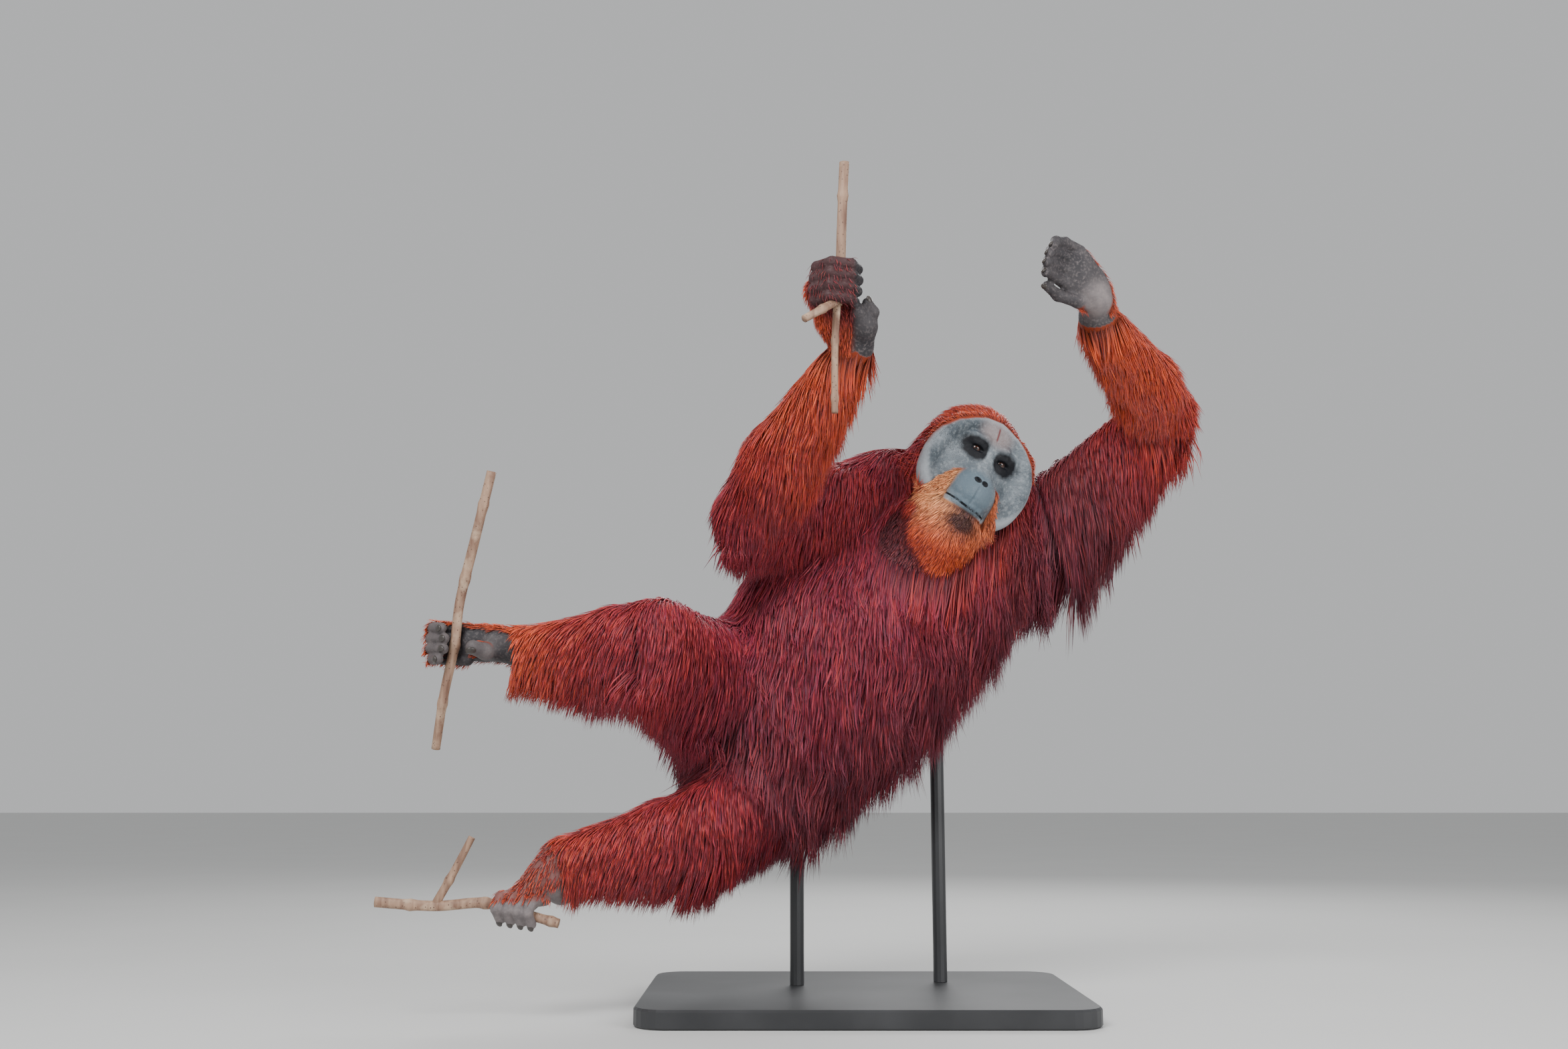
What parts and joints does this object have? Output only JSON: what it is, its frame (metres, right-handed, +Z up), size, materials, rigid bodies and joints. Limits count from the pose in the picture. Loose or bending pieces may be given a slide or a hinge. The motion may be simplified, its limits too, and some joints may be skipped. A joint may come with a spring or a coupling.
{
  "type": "orangutan figure",
  "caption": "Life-size hanging orangutan with cheek pads, throat sac and long shaggy coat, gripping cut lengths of vine, on a flat stand with upright rods.",
  "frame": {"origin": "centre of the stand's underside", "axes": "+Z up, the animal's chest and face towards -Y, its head towards +X"},
  "size_m": [1.6198, 0.7587, 1.5618],
  "materials": {
    "coat": "long shaggy hair, maroon on the trunk to orange on the forearms",
    "face_skin": "bare blue-grey skin, finely wrinkled",
    "hand_skin": "bare dark grey creased skin",
    "eye": "wet, dark brown iris",
    "vine": "smooth bark with nodes and cut ends",
    "stand": "satin powder coat"
  },
  "bodies": {
    "root": {"head": "coat", "cheek_pad_right": "face_skin", "cheek_pad_left": "face_skin", "beard": "coat", "throat_sac": "coat", "ear_right": "face_skin", "ear_left": "face_skin", "eye_right": "eye", "eye_left": "eye", "neck": "coat", "chest": "coat", "belly": "coat", "pelvis": "coat", "upper_arm_right": "coat", "forearm_right": "coat", "hand_right": "hand_skin", "upper_arm_left": "coat", "forearm_left": "coat", "hand_left": "hand_skin", "thigh_right": "coat", "shin_right": "coat", "foot_right": "hand_skin", "thigh_left": "coat", "shin_left": "coat", "foot_left": "hand_skin", "perch_vine_hand": "vine", "perch_vine_foot": "vine", "perch_branch_low": "vine", "stand_base": "stand", "stand_rod_rump": "stand", "stand_rod_back": "stand"}
  },
  "joints": []
}
